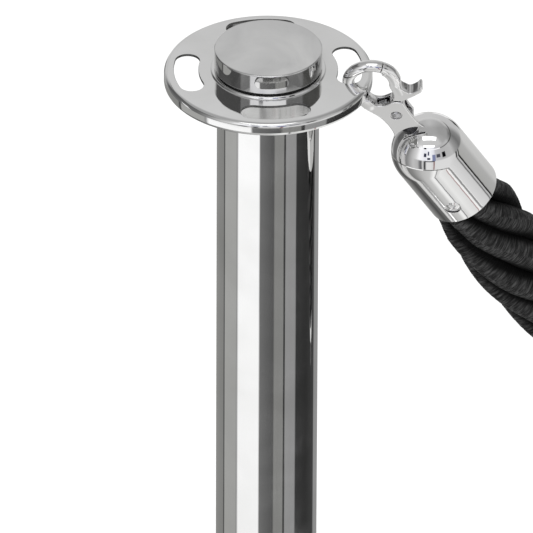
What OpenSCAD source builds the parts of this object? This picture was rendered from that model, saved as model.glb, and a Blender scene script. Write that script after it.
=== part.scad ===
// Rope barrier stanchion: weighted base, tubular post, slotted ring plate with a
// flat cap, and the end of a twisted rope hooked into the plate.
// Millimetres. Origin at the centre of the base on the floor, +Z up.

/* [Post] */
// Height of the top face of the ring plate above the floor
plate_z = 950; // [700:5:1050]
// Outside diameter of the post tube
tube_d = 50.8; // [50:0.2:51.6]
// Wall of the post tube
tube_wall = 1.6; // [1.2:0.1:2.5]

/* [Base] */
// Diameter over the base cover
base_d = 320; // [300:2:360]
// Height of the base cover where it meets the collar
base_h = 38; // [36:1:42]
// Sheet of the base cover
cover_t = 1.2; // [0.8:0.1:1.6]

/* [Ring plate] */
// Diameter of the ring plate
plate_d = 103.4; // [102:0.2:108]
// Depth of the rim, from the top face down
rim_h = 6.6; // [5:0.1:7.2]
// Sheet of the ring plate
plate_t = 2; // [1.6:0.1:2.4]
// Radius of the middle of the rope slots
slot_r = 40.7; // [40:0.1:41.2]
// Width of the rope slots
slot_w = 12.2; // [11:0.1:12.6]
// Angle from the middle of a slot to the centre of its round end
slot_half = 16; // [13:0.5:17]
// Turn of the four slots about the post
slot_turn = 5.5; // [0:0.5:8]

/* [Cap] */
// Diameter of the flat cap
cap_d = 52.6; // [50:0.2:54]
// Height of the flat cap
cap_h = 9.9; // [8:0.1:12]

/* [Hook] */
// Thickness of the hook's round stock
stock_d = 6; // [5.4:0.1:6.2]
// Radius of the middle of the hook's eye
eye_r = 11.5; // [11.3:0.1:11.7]
// Thickness of the hook body at the gate pin
body_t = 7.4; // [7.2:0.1:7.8]
// Diameter of the gate pin
pin_d = 3; // [2.8:0.1:3.2]

/* [Rope end] */
// Diameter of the rope end cap
ferrule_d = 38; // [37.6:0.1:38.4]
// Length of the rope end cap
ferrule_l = 55.5; // [54:0.5:58]
// Wall of the rope end cap
ferrule_t = 1.5; // [1.3:0.1:1.6]
// Diameter of the rope
rope_d = 40; // [38:0.5:41]

/* [Hidden] */
$fn = 72;

tube_r = tube_d / 2;
bore_r = tube_r - tube_wall;
boss_h = 1.0;                       // step pressed up under the cap
gasket_h = 1.4;
gasket_z = plate_z + boss_h;
cap_z = gasket_z + gasket_h;
plug_l = 22;
tube_z0 = 34;                       // foot of the post on the weight
tube_z1 = plate_z + boss_h - plate_t;

// the near hook's frame: origin on the gate pin, +X towards the gate,
// +Z from the rope towards the eye, +Y through the pin
hook_pos = [63.5, 0.3, 926.1];
hook_rot = [21, -26.5, -10];
// the far hook's frame
far_pos = [276.5, 128, 622];
far_rot = [0, 134, 31];

eye_z = 26;                         // centre of the eye above the pin
seam_a = 40;                        // angle of the seam between jaw and gate
gate_a = -9.6;                      // angle where the gate's bend runs straight
gate_foot = [eye_r * cos(gate_a), 0, eye_z + eye_r * sin(gate_a)];
gate_dir = [sin(gate_a), 0, -cos(gate_a)];
dome_z = -16.5;                     // top of the rope end cap
mouth_z = dome_z - ferrule_l;       // mouth of the rope end cap
fr = ferrule_d / 2;
screw_z = mouth_z + 11;

// middle line of the rope from inside one end cap to inside the other
ROUTE = [[86, 14, 886], [97.5, 20.5, 866], [103, 24, 856], [107, 26, 849.5],
    [117, 32, 833], [126.5, 38, 816.5], [137, 44, 800.5], [147, 50.5, 784.5],
    [157.5, 56.5, 769], [168.5, 63, 753], [179.5, 70, 738], [190.5, 76.5, 723],
    [202, 83.5, 708], [214, 90.5, 693.5], [222, 95.5, 684], [226, 98, 679.5],
    [232.5, 101.5, 672], [247, 110.5, 655]];
ROPE_R = [17, 17, 17.6, 19.2, 19.8, 20, 20, 20, 20, 20, 20, 20, 20, 19.8, 19.2,
    17.6, 17, 17];

function arc(cx, cy, r, a0, a1, n) =
    [for (i = [0:n]) let (a = a0 + (a1 - a0) * i / n) [cx + r * cos(a), cy + r * sin(a)]];
function unit(v) = v / norm(v);
function tangent(p, i) =
    unit(p[min(i + 1, len(p) - 1)] - p[max(i - 1, 0)]);

module at_hook() { translate(hook_pos) rotate(hook_rot) children(); }
module at_far() { translate(far_pos) rotate(far_rot) children(); }

// round rod from a to b
module rod(a, b, r) {
    d = b - a;
    translate(a) rotate([0, acos(d.z / norm(d)), atan2(d.y, d.x)])
        cylinder(r = r, h = norm(d));
}

// ---------------------------------------------------------------- base

module floor_ring() {
    color("#1c1c1c") rotate_extrude($fn = 144)
        polygon([[138, 0], [base_d / 2 - 3, 0], [base_d / 2 - 1.8, 1], [base_d / 2 - 1.8, 2.6],
            [base_d / 2 - 2.2, 2.8], [base_d / 2 - 2.2, 7], [base_d / 2 - 6, 7],
            [base_d / 2 - 6, 4], [138, 4]]);
}

module base_weight() {
    color("#3a3a3c") difference() {
        rotate_extrude($fn = 144)
            polygon([[6.6, 4], [152.5, 4], [153.5, 12], [149, 18], [128, 22],
                [96, 26.5], [60, 30.5], [30, 33.6], [27, 34], [6.6, 34]]);
        // pocket for the head of the bolt
        translate([0, 0, 3]) cylinder(r = 24, h = 12);
        // casting relief below
        rotate_extrude($fn = 144)
            polygon([[60, 3], [125, 3], [120, 9], [65, 9]]);
    }
}

module base_cover() {
    r = base_d / 2;
    color("silver") rotate_extrude($fn = 144)
        polygon(concat(
            [[r - 1.2, 3], [r, 3], [r, 12]],
            arc(r - 10, 12, 10, 0, 72, 6),
            [[128, 25.6], [96, 30.2], [60, 34.4], [34, base_h - 0.6], [26, base_h],
             [26, base_h - cover_t], [34, base_h - cover_t - 0.6], [60, 33.1],
             [96, 28.9], [128, 24.3]],
            arc(r - 10, 12, 8.8, 72, 0, 6)));
}

module base_collar() {
    color("silver") rotate_extrude($fn = 96)
        polygon(concat([[tube_r + 0.1, base_h + 0.1], [41, base_h + 0.1]],
            arc(39, 39.9, 2, 0, 60, 4),
            [[35, 43.2], [31.5, 45.6], [29.6, 48.6], [28.9, 52], [28.6, 55]],
            arc(27.6, 55.4, 1, 0, 90, 3),
            [[tube_r + 0.1, 56.4]]));
}

module tie_bolt() {
    color("#8a8a8a") union() {
        translate([0, 0, 5.5]) cylinder(r = 10.4, h = 7.5, $fn = 6);
        translate([0, 0, 13]) cylinder(r = 5.95, h = 41);
    }
}

module base_washer() {
    color("#9a9a9a") translate([0, 0, 13]) difference() {
        cylinder(r = 14, h = 2);
        translate([0, 0, -1]) cylinder(r = 6.3, h = 4);
    }
}

module plug(z, bore) {
    translate([0, 0, z]) difference() {
        cylinder(r = bore_r - 0.02, h = plug_l);
        translate([0, 0, -1]) cylinder(r = bore, h = plug_l + 2);
    }
}

module bottom_plug() { color("#808080") plug(tube_z0, 6); }

module post_tube() {
    color("silver") translate([0, 0, tube_z0]) difference() {
        cylinder(r = tube_r, h = tube_z1 - tube_z0, $fn = 96);
        translate([0, 0, -1]) cylinder(r = bore_r, h = tube_z1 - tube_z0 + 2, $fn = 96);
    }
}

// ---------------------------------------------------------------- head

module top_plug() { color("#808080") plug(tube_z1 - plug_l - 1, 4); }

module slot_hole() {
    rotate([0, 0, -slot_half]) rotate_extrude(angle = 2 * slot_half)
        translate([slot_r - slot_w / 2, plate_z - 12]) square([slot_w, 24]);
    for (s = [-1, 1]) rotate([0, 0, s * slot_half])
        translate([slot_r, 0, plate_z - 12]) cylinder(d = slot_w, h = 24);
}

module ring_plate() {
    r = plate_d / 2; t = plate_t; z = plate_z;
    color("silver") difference() {
        rotate_extrude($fn = 120) polygon(concat(
            [[4.3, z + boss_h - t], [27.2, z + boss_h - t], [28.6, z - t],
             [r - 3.4, z - t]],
            arc(r - 3.4, z - t - 1.4, 1.4, 90, 0, 4),
            [[r - t, z - rim_h], [r - 0.3, z - rim_h], [r, z - rim_h + 0.3]],
            arc(r - 3.0, z - 3.0, 3.0, 0, 90, 6),
            [[29.6, z], [28.2, z + boss_h], [4.3, z + boss_h]]));
        for (k = [0:3]) rotate([0, 0, slot_turn + 90 * k]) slot_hole();
    }
}

module cap_gasket() {
    color("#151515") translate([0, 0, gasket_z]) difference() {
        cylinder(r = cap_d / 2 - 1.6, h = gasket_h);
        translate([0, 0, -1]) cylinder(r = 4.5, h = gasket_h + 2);
    }
}

module top_cap() {
    r = cap_d / 2;
    color("silver") difference() {
        translate([0, 0, cap_z]) rotate_extrude($fn = 120) polygon(concat(
            [[0, 0], [r - 0.4, 0], [r, 0.4]],
            arc(r - 0.8, cap_h - 0.8, 0.8, 0, 90, 5),
            [[0, cap_h]]));
        translate([0, 0, cap_z - 1]) cylinder(r = 4, h = 7.5);
    }
}

module cap_stud() {
    color("#8a8a8a") translate([0, 0, tube_z1 - plug_l + 4])
        cylinder(r = 3.95, h = cap_z + 6 - (tube_z1 - plug_l + 4));
}

// ---------------------------------------------------------------- hook

// outline of the hook's body, seen along its pin
module body_outline() {
    difference() {
        polygon([[-12.6, 16.5], [-11.4, 12], [-9.4, 7.2], [-8, 3.4], [-7.2, -1],
            [-7, -6], [-7.2, -10], [-7.9, -13.5], [-9.6, -17.2],
            [9.2, -17.2], [7.7, -13.5], [7.1, -10], [6.8, -6], [6.8, 0], [7.2, 4.5],
            [7.4, 6.7], [6.2, 7.85], [4.6, 8.9], [2.8, 9.6], [0.5, 9.3], [-2, 9.2],
            [-4.6, 10.2], [-6.2, 12.2], [-6.8, 16]]);
        // hollow that clears the rope end cap
        translate([0, -23.2]) circle(r = 11.6);
    }
}

module jaw_and_body() {
    union() {
        translate([0, 0, eye_z]) rotate([90, 0, 0])
            rotate_extrude(angle = 188 - seam_a, start = seam_a)
                translate([eye_r, 0]) circle(d = stock_d, $fn = 48);
        translate([eye_r * cos(188), 0, eye_z + eye_r * sin(188)]) sphere(d = stock_d, $fn = 48);
        rod([eye_r * cos(188), 0, eye_z + eye_r * sin(188)], [-8.9, 0, 11.5], stock_d / 2);
        // cheeks, thinned towards the hollow foot
        intersection() {
            translate([0, body_t / 2, 0]) rotate([90, 0, 0])
                linear_extrude(body_t) body_outline();
            translate([-20, 0, 0]) rotate([90, 0, 90]) linear_extrude(40)
                polygon([[-5, 20], [5, 20], [5, -3], [body_t / 2, -6], [2.5, -17.5],
                    [-2.5, -17.5], [-body_t / 2, -6], [-5, -3]]);
        }
    }
}

module hook_body_shape() {
    difference() {
        jaw_and_body();
        // slot between the cheeks for the gate and its spring
        translate([-5, -2, -5.4]) cube([20, 4, 30]);
        // hole for the gate pin
        translate([0, body_t, 0]) rotate([90, 0, 0])
            cylinder(d = pin_d + 0.04, h = 2 * body_t);
        // bore and pocket for the swivel
        translate([0, 0, -13]) cylinder(r = 1.65, h = 7);
        translate([0, 0, -8.2]) cylinder(r = 2.7, h = 6);
    }
}

module hook_gate_shape() {
    difference() {
        union() {
            // hub between the cheeks
            translate([0, 1.75, 0]) rotate([90, 0, 0]) cylinder(r = 4.7, h = 3.5);
            // web from the hub up to the arm
            translate([0, 1.75, 0]) rotate([90, 0, 0]) linear_extrude(3.5)
                polygon([[-1.2, 4.2], [1.6, 9.6], [3.6, 11.2], [8.6, 8.2], [7.2, 5.2], [4.2, 1.6]]);
            // arm, with the thumb lever on its outer side
            translate([0, 3.2, 0]) rotate([90, 0, 0]) linear_extrude(6.4) polygon(concat(
                [[6.3, 14.6], [5.2, 12.6]],
                arc(0, 0, 10.6, 72, 44, 5),
                [[9.6, 7.9], [19, 9], [20.8, 10.6], [20, 11.7], [18.4, 10.9],
                 [13.4, 11], [12.9, 12.4], [12.9, 14.6]]));
            // round side of the eye: a straight foot, then the bend up to the seam
            rod(gate_foot - 0.8 * gate_dir, gate_foot + 11.6 * gate_dir, stock_d / 2 - 0.1);
            translate([0, 0, eye_z]) rotate([90, 0, 0])
                rotate_extrude(angle = seam_a - gate_a - 1.6, start = gate_a)
                    translate([eye_r, 0]) circle(d = stock_d, $fn = 48);
        }
        translate([0, body_t, 0]) rotate([90, 0, 0])
            cylinder(d = pin_d + 0.1, h = 2 * body_t);
    }
}

module gate_pin_shape() {
    rotate([90, 0, 0]) union() {
        translate([0, 0, -body_t / 2 - 0.4]) cylinder(d = pin_d, h = body_t + 0.8);
        for (s = [0, 1]) mirror([0, 0, s])
            translate([0, 0, body_t / 2]) rotate_extrude()
                polygon([[0, 0], [2.4, 0], [2.3, 0.3], [1.7, 0.6], [0, 0.7]]);
    }
}

// closed outline of the small coil spring between the body and the gate
module gate_spring_shape() {
    translate([-4.9, 0, 7.6]) rotate([0, 90, 0]) difference() {
        cylinder(r = 1.7, h = 4.4);
        translate([0, 0, -1]) cylinder(r = 0.9, h = 7);
    }
}

module swivel_stud_shape() {
    union() {
        translate([0, 0, -8.1]) cylinder(r = 2.4, h = 1.6);
        translate([0, 0, dome_z - 7]) cylinder(r = 1.6, h = -7 - dome_z + 7);
        // collar on the end cap
        translate([0, 0, dome_z - 0.1]) cylinder(r = 3.9, h = 4.3);
    }
}

module swivel_nut_shape() {
    translate([0, 0, dome_z - ferrule_t - 4.8]) difference() {
        cylinder(r = 4.6, h = 4, $fn = 6);
        translate([0, 0, -1]) cylinder(r = 1.62, h = 6);
    }
}

// ---------------------------------------------------------------- rope end

module end_cap_shape() {
    c = dome_z - fr;                // centre of the dome
    difference() {
        rotate_extrude($fn = 96) polygon(concat(
            [[fr - ferrule_t, mouth_z], [fr - 0.4, mouth_z], [fr, mouth_z + 0.4]],
            arc(0, c, fr, 0, 78, 16),
            [[4, dome_z - 0.1], [1.62, dome_z - 0.1], [1.62, dome_z - ferrule_t - 0.3],
             [4, dome_z - ferrule_t - 0.3]],
            arc(0, c, fr - ferrule_t, 76, 0, 16)));
        // seats and holes for the two screws
        for (s = [-1, 1]) translate([0, 0, screw_z]) rotate([s * 90, 0, 0]) {
            cylinder(r = 1.75, h = fr + 2);
            translate([0, 0, fr - 0.9]) cylinder(r = 3.2, h = 4);
        }
    }
}

module cap_screws_shape() {
    for (s = [-1, 1]) translate([0, 0, screw_z]) rotate([s * 90, 0, 0]) union() {
        translate([0, 0, fr - ferrule_t]) cylinder(r = 1.7, h = 1.4);
        translate([0, 0, fr - 0.9]) cylinder(r = 2.9, h = 0.9);
    }
}

// rope: one tube swept along the route
module rope_tube(path, radii, sides) {
    n = len(path);
    pts = [for (i = [0:n - 1]) let (t = tangent(path, i),
            u = unit(cross(t, [0, 0, 1])), v = cross(u, t))
            for (k = [0:sides - 1]) let (a = 360 * k / sides)
                path[i] + radii[i] * (cos(a) * u + sin(a) * v)];
    faces = concat([[for (k = [0:sides - 1]) sides - 1 - k]],
        [for (i = [0:n - 2]) for (k = [0:sides - 1]) let (m = (k + 1) % sides)
            [i * sides + k, i * sides + m, (i + 1) * sides + m, (i + 1) * sides + k]],
        [[for (k = [0:sides - 1]) (n - 1) * sides + k]]);
    polyhedron(points = pts, faces = faces, convexity = 4);
}

module hook_body() { color("silver") at_hook() hook_body_shape(); }
module hook_gate() { color("silver") at_hook() hook_gate_shape(); }
module gate_pin() { color("gainsboro") at_hook() gate_pin_shape(); }
module gate_spring() { color("gray") at_hook() gate_spring_shape(); }
module swivel_stud() { color("silver") at_hook() swivel_stud_shape(); }
module swivel_nut() { color("gray") at_hook() swivel_nut_shape(); }
module rope_end_cap() { color("silver") at_hook() end_cap_shape(); }
module cap_screws() { color("gainsboro") at_hook() cap_screws_shape(); }
module rope() { color("#1a1a1a") rope_tube(ROUTE, ROPE_R, 12); }
module far_hook_body() { color("silver") at_far() hook_body_shape(); }
module far_hook_gate() { color("silver") at_far() hook_gate_shape(); }
module far_gate_pin() { color("gainsboro") at_far() gate_pin_shape(); }
module far_gate_spring() { color("gray") at_far() gate_spring_shape(); }
module far_swivel_stud() { color("silver") at_far() swivel_stud_shape(); }
module far_swivel_nut() { color("gray") at_far() swivel_nut_shape(); }
module far_end_cap() { color("silver") at_far() end_cap_shape(); }
module far_cap_screws() { color("gainsboro") at_far() cap_screws_shape(); }

floor_ring();
base_weight();
base_cover();
base_collar();
tie_bolt();
base_washer();
bottom_plug();
post_tube();
top_plug();
ring_plate();
cap_gasket();
top_cap();
cap_stud();
hook_body();
hook_gate();
gate_pin();
gate_spring();
swivel_stud();
swivel_nut();
rope_end_cap();
cap_screws();
rope();
far_hook_body();
far_hook_gate();
far_gate_pin();
far_gate_spring();
far_swivel_stud();
far_swivel_nut();
far_end_cap();
far_cap_screws();
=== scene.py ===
import bpy, bmesh, math, random
import numpy as np
from mathutils import Matrix, Vector, Euler


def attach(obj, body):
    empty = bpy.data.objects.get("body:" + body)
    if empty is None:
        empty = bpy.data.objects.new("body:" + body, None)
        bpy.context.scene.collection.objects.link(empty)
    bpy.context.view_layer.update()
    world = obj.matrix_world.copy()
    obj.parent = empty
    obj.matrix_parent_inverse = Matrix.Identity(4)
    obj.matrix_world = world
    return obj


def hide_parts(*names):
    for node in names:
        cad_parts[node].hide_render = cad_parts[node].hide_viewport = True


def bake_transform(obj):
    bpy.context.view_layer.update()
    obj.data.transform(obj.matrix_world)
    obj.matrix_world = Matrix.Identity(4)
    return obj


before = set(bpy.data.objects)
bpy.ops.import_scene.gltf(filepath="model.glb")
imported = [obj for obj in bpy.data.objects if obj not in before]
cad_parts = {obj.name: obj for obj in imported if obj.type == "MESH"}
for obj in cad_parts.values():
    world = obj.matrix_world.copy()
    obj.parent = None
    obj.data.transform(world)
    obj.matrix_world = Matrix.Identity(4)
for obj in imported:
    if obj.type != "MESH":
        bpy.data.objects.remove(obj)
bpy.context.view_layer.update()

scene = bpy.context.scene
scene.view_settings.view_transform = "Standard"
MM = 0.001

# ------------------------------------------------------------------ camera

def add_camera():
    e, roll = math.radians(32.706), math.radians(0.263)
    d = Vector((0, math.cos(e), -math.sin(e)))
    r = Vector((1, 0, 0)); u = r.cross(d)
    r2 = r * math.cos(roll) + u * math.sin(roll)
    u2 = -r * math.sin(roll) + u * math.cos(roll)
    target = Vector((-0.000415, 0, 0.833655))
    cam = bpy.data.objects.new("camera", bpy.data.cameras.new("camera"))
    scene.collection.objects.link(cam)
    m = Matrix((r2, u2, -d)).transposed().to_4x4()
    m.translation = target - d * 8.0
    cam.matrix_world = m
    cam.data.sensor_width = 36
    cam.data.lens = 16021.3 / 533 * 36
    cam.data.clip_start, cam.data.clip_end = 0.1, 300
    scene.camera = cam

add_camera()

# ------------------------------------------------------------------ node helpers

def srgb(c):
    if isinstance(c, str):
        c = [int(c[i:i + 2], 16) / 255 for i in (1, 3, 5)]
    return [x / 12.92 if x <= 0.04045 else ((x + 0.055) / 1.055) ** 2.4 for x in c] + [1.0]

class Tree:
    def __init__(self, nt):
        self.nt = nt
        nt.nodes.clear()
    def add(self, kind, **props):
        n = self.nt.nodes.new(kind)
        for k, v in props.items():
            setattr(n, k, v)
        return n
    def put(self, sock, val):
        if hasattr(val, "is_output"):
            self.nt.links.new(val, sock)
        else:
            sock.default_value = val
    def math(self, op, a, b=None, c=None, clamp=False):
        n = self.add("ShaderNodeMath", operation=op, use_clamp=clamp)
        self.put(n.inputs[0], a)
        if b is not None: self.put(n.inputs[1], b)
        if c is not None: self.put(n.inputs[2], c)
        return n.outputs[0]
    def ramp(self, fac, stops, interp="LINEAR"):
        n = self.add("ShaderNodeValToRGB")
        n.color_ramp.interpolation = interp
        el = n.color_ramp.elements
        while len(el) > 1: el.remove(el[-1])
        el[0].position = stops[0][0]; el[0].color = stops[0][1]
        for p, c in stops[1:]:
            x = el.new(p); x.color = c
        self.put(n.inputs[0], fac)
        return n.outputs[0]
    def mixc(self, fac, a, b, blend="MIX"):
        n = self.add("ShaderNodeMix", data_type="RGBA", blend_type=blend)
        self.put(n.inputs[0], fac); self.put(n.inputs[6], a); self.put(n.inputs[7], b)
        return n.outputs[2]
    def mapr(self, v, a, b, c=0.0, d=1.0, smooth=False):
        n = self.add("ShaderNodeMapRange", clamp=True)
        if smooth: n.interpolation_type = "SMOOTHSTEP"
        for i, x in enumerate((v, a, b, c, d)): self.put(n.inputs[i], x)
        return n.outputs[0]
    def noise(self, vec, scale, detail=2.0, rough=0.5, dist=0.0):
        n = self.add("ShaderNodeTexNoise")
        self.put(n.inputs["Vector"], vec)
        n.inputs["Scale"].default_value = scale
        n.inputs["Detail"].default_value = detail
        n.inputs["Roughness"].default_value = rough
        n.inputs["Distortion"].default_value = dist
        return n.outputs["Fac"]
    def mapping(self, vec, scale=(1, 1, 1), rot=(0, 0, 0), loc=(0, 0, 0)):
        n = self.add("ShaderNodeMapping")
        self.put(n.inputs[0], vec)
        n.inputs["Location"].default_value = loc
        n.inputs["Rotation"].default_value = rot
        n.inputs["Scale"].default_value = scale
        return n.outputs[0]
    def bump(self, h, strength, dist, normal=None):
        n = self.add("ShaderNodeBump")
        n.inputs["Strength"].default_value = strength
        n.inputs["Distance"].default_value = dist
        self.put(n.inputs["Height"], h)
        if normal is not None: self.put(n.inputs["Normal"], normal)
        return n.outputs[0]

def material(name, base, metallic, rough, build=None, **sock):
    m = bpy.data.materials.new(name)
    m.use_nodes = True
    t = Tree(m.node_tree)
    out = t.add("ShaderNodeOutputMaterial")
    p = t.add("ShaderNodeBsdfPrincipled")
    t.nt.links.new(p.outputs[0], out.inputs[0])
    p.inputs["Base Color"].default_value = base
    p.inputs["Metallic"].default_value = metallic
    p.inputs["Roughness"].default_value = rough
    for k, v in sock.items():
        p.inputs[k.replace("_", " ")].default_value = v
    if build: build(t, p)
    m.diffuse_color = base
    return m

# ------------------------------------------------------------------ studio

def studio():
    w = bpy.data.worlds.new("studio"); scene.world = w; w.use_nodes = True
    t = Tree(w.node_tree)
    out = t.add("ShaderNodeOutputWorld")
    tc = t.add("ShaderNodeTexCoord")
    sep = t.add("ShaderNodeSeparateXYZ"); t.put(sep.inputs[0], tc.outputs["Generated"])
    x, y, z = sep.outputs
    az = t.math("MULTIPLY", t.math("ARCTAN2", x, t.math("MULTIPLY", y, -1.0)), 180 / math.pi)
    el = t.math("MULTIPLY", t.math("ARCSINE", t.math("MULTIPLY", z, 0.99999)), 180 / math.pi)
    pos = t.mapr(az, -180.0, 180.0)
    def stops(rows, gain):
        r = []
        for a, c in rows:
            col = srgb(c); r.append(((a + 180) / 360, [v * gain for v in col[:3]] + [1]))
        return r
    deep, mid, low, up, rise, top = (t.ramp(pos, stops(rows, 1 / 0.86)) for rows in (DEEP, MID, LOW, UP, RISE, CEIL))
    # floor of the studio, walls low down, walls and windows above, ceiling
    col = t.mixc(t.mapr(el, -84.0, -78.0), srgb("#8c8c8c"), deep)
    col = t.mixc(t.mapr(el, -30.8, -30.2), col, mid)
    col = t.mixc(t.mapr(el, -4.0, 0.0), col, rise)
    col = t.mixc(t.mapr(el, 37.0, 45.0, smooth=True), col, top)
    col = t.mixc(t.mapr(el, 60.0, 80.0, smooth=True), col, srgb("#aeaeae"))
    # two narrow belts of standing panels and black flags
    def belt(e0, e1):
        return t.math("MULTIPLY", t.mapr(el, e0 - .15, e0 + .15), t.mapr(el, e1 + .15, e1 - .15))
    col = t.mixc(belt(-34.1, -31.3), col, low)
    col = t.mixc(belt(31.3, 34.1), col, up)
    def box(col, a0, a1, e0, e1, c, soft=1.0, gain=1.0):
        f = t.math("MULTIPLY", t.mapr(az, a0 - soft, a0 + soft), t.mapr(az, a1 + soft, a1 - soft))
        g = t.math("MULTIPLY", t.mapr(el, e0 - soft, e0 + soft), t.mapr(el, e1 + soft, e1 - soft))
        cc = srgb(c)
        return t.mixc(t.math("MULTIPLY", f, g), col, [v * gain for v in cc[:3]] + [1])
    for b in BOXES:
        col = box(col, *b)
    # two strip lights on the ceiling, square in the x-y plane
    def strip(col, x0, x1, y0, y1, gain):
        zz = t.math("MAXIMUM", z, 0.05)
        px, py = t.math("DIVIDE", x, zz), t.math("DIVIDE", y, zz)
        f = t.math("MULTIPLY", t.mapr(px, x0 - .01, x0 + .01), t.mapr(px, x1 + .01, x1 - .01))
        g = t.math("MULTIPLY", t.mapr(py, y0 - .01, y0 + .01), t.mapr(py, y1 + .01, y1 - .01))
        f = t.math("MULTIPLY", t.math("MULTIPLY", f, g), t.mapr(z, 0.1, 0.2))
        return t.mixc(f, col, [gain, gain, gain, 1])
    col = strip(col, -0.38, 0.38, -0.53, -0.29, 2.2)
    col = strip(col, -0.46, 0.42, -1.17, -0.97, 2.2)
    # soft light for everything that isn't a mirror
    soft = t.ramp(t.mapr(el, -90.0, 90.0), [(0.0, [.55] * 3 + [1]), (0.48, [.62] * 3 + [1]),
        (0.62, [.85] * 3 + [1]), (1.0, [1.25] * 3 + [1])])
    lp = t.add("ShaderNodeLightPath")
    c = t.mixc(lp.outputs["Is Glossy Ray"], soft, col)
    c = t.mixc(lp.outputs["Is Camera Ray"], c, [1.0, 1.0, 1.0, 1])
    bg = t.add("ShaderNodeBackground"); t.put(bg.inputs[0], c)
    t.nt.links.new(bg.outputs[0], out.inputs[0])

LOW = [(-180, "#8a8a88"), (-118, "#858583"), (-116.5, "#4a4a4a"), (-114, "#4a4a4a"), (-112, "#a5a5a3"),
       (-76, "#a5a5a3"), (-73, "#8c8c8c"), (-69, "#ffffff"), (-19, "#ffffff"), (-17, "#707070"), (-2, "#636363"),
       (14, "#565656"), (16.5, "#858583"), (37, "#858583"), (38, "#383838"), (41, "#383838"), (42, "#929292"),
       (67, "#909090"), (69, "#383838"), (100, "#303030"), (132, "#424242"), (135, "#8e8e8e"), (179, "#8e8e8e")]
UP = [(-180, "#cbcbcb"), (-158, "#c9c9c8"), (-144, "#565656"), (-62, "#4c4c4c"), (-60, "#808080"), (-40, "#7e7e7e"),
      (-38, "#fdfdff"), (38, "#fbfbfd"), (40, "#747474"), (78, "#727272"), (81, "#4c4c4a"), (140, "#545452"),
      (158, "#c9c9c8"), (179, "#cbcbcb")]
MID = [(-180, "#c2c2c1"), (-150, "#c4c4c3"), (-138, "#989898"), (-130, "#6a6a6a"), (-78, "#686868"), (-64, "#909090"),
       (-48, "#bebebe"), (-34, "#b4b4b4"), (-27, "#6a6a6c"), (-23, "#6a6a6c"), (-19, "#d8d8d8"), (-14, "#303032"),
       (-12, "#303032"), (-8, "#dcdcdc"), (4, "#dcdcdc"), (12, "#d0d0d0"), (13.4, "#783c3c"), (15, "#783c3c"),
       (16.4, "#d8d8d8"), (60, "#dadada"), (86, "#c8c8c8"), (88, "#585858"), (89.4, "#585858"), (90.6, "#c2c2c2"), (92.8, "#bebebe"), (93.8, "#0e0e0e"),
       (96.8, "#0e0e0e"), (98, "#a5a5a3"), (122, "#acacab"), (134, "#c2c2c1"), (179, "#c2c2c1")]
RISE = [(-180, "#c4c4c4"), (-150, "#c6c6c6"), (-138, "#a0a0a0"), (-128, "#565656"), (-78, "#686868"), (-66, "#868686"),
        (-52, "#b8b8b8"), (-40, "#d2d2d2"), (-30, "#fafafc"), (-12, "#e6e7ee"), (0, "#f6f7fb"), (14, "#e2e3ea"),
        (20, "#c0c0c4"), (45, "#b2b2b2"), (75, "#b8b8b8"), (86, "#969696"), (108, "#6e6e6e"), (124, "#848484"),
        (138, "#b8b8b8"), (179, "#c4c4c4")]
CEIL = [(-180, "#b8b8b8"), (-130, "#9c9c9c"), (-60, "#a4a4a4"), (-40, "#c6c6c6"), (45, "#c4c4c4"), (60, "#a6a6a6"),
        (90, "#989898"), (130, "#989898"), (179, "#b8b8b8")]
DEEP = [(-180, "#bcbcbb"), (-172, "#bcbcbb"), (-164, "#868685"), (-155, "#818180"), (-145, "#6b6b6a"), (-133, "#4b4b4b"),
        (-117, "#626261"), (-92, "#656564"), (-56, "#868685"), (-22, "#b9b9b8"), (2, "#c4c4c3"), (17, "#f0f0ef"),
        (22.8, "#e0e0e0"), (23.6, "#181818"), (24.8, "#181818"), (25.6, "#d8d8d8"), (29, "#d5d5d4"), (38, "#e5e5e4"),
        (53.4, "#dadad9"), (54.2, "#8a5a5a"), (55.2, "#8a5a5a"), (56.2, "#efefee"), (120, "#dededd"), (179, "#bebebd")]
BOXES = [(40, 51, 4, 19, "#0a0a0c"), (22, 34, 7, 17, "#50505a"), (9, 19, -3, 17, "#858cb0"), (-20, -11, 33, 38, "#1c1c22"),
         (-17, -9, 10, 21, "#2c3046"), (-6, 3, 2, 8, "#2a2c44"), (-5, 0, 15, 27, "#484c66"), (-12, 16, -5, -2, "#34343c"),
         # panels and flags round the sides and back
         (-176, -161, -28, -1, "#fbfbfb"), (-158, -148, -28, -1, "#4a4a4a"), (153, 163, -13, -1, "#3a3a3a"),
         (165, 177, -16, -1, "#f6f6f6"), (84, 90, -15, -1, "#484848"), (-101, -91, -28, -1, "#ececec")]

def area(name, loc, aim, size, power, color=(1, 1, 1)):
    l = bpy.data.lights.new(name, "AREA")
    l.shape = "RECTANGLE"; l.size, l.size_y = size; l.energy = power; l.color = color
    o = bpy.data.objects.new(name, l); scene.collection.objects.link(o)
    o.location = loc
    o.rotation_euler = (Vector(aim) - Vector(loc)).to_track_quat("-Z", "Y").to_euler()
    return o

studio()
key = area("key", (-1.6, -1.8, 2.9), (0.05, 0, 0.8), (1.1, 1.1), 60)
key.visible_glossy = False

def floor():
    n = 24
    me = bpy.data.meshes.new("floor")
    s = 60.0
    me.from_pydata([(-s, -s, 0), (s, -s, 0), (s, s, 0), (-s, s, 0)], [], [(0, 1, 2, 3)])
    o = bpy.data.objects.new("floor", me); scene.collection.objects.link(o)
    def b(t, p):
        g = t.add("ShaderNodeNewGeometry")
        f = t.noise(g.outputs["Position"], 3.0, 3.0)
        t.put(p.inputs["Base Color"], t.ramp(f, [(0.3, [.93, .93, .93, 1]), (0.7, [.96, .96, .96, 1])]))
    me.materials.append(material("floor_pale", (.95, .95, .95, 1), 0, .9, b, Specular_IOR_Level=0.1))
    o.visible_glossy = False

floor()

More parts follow.
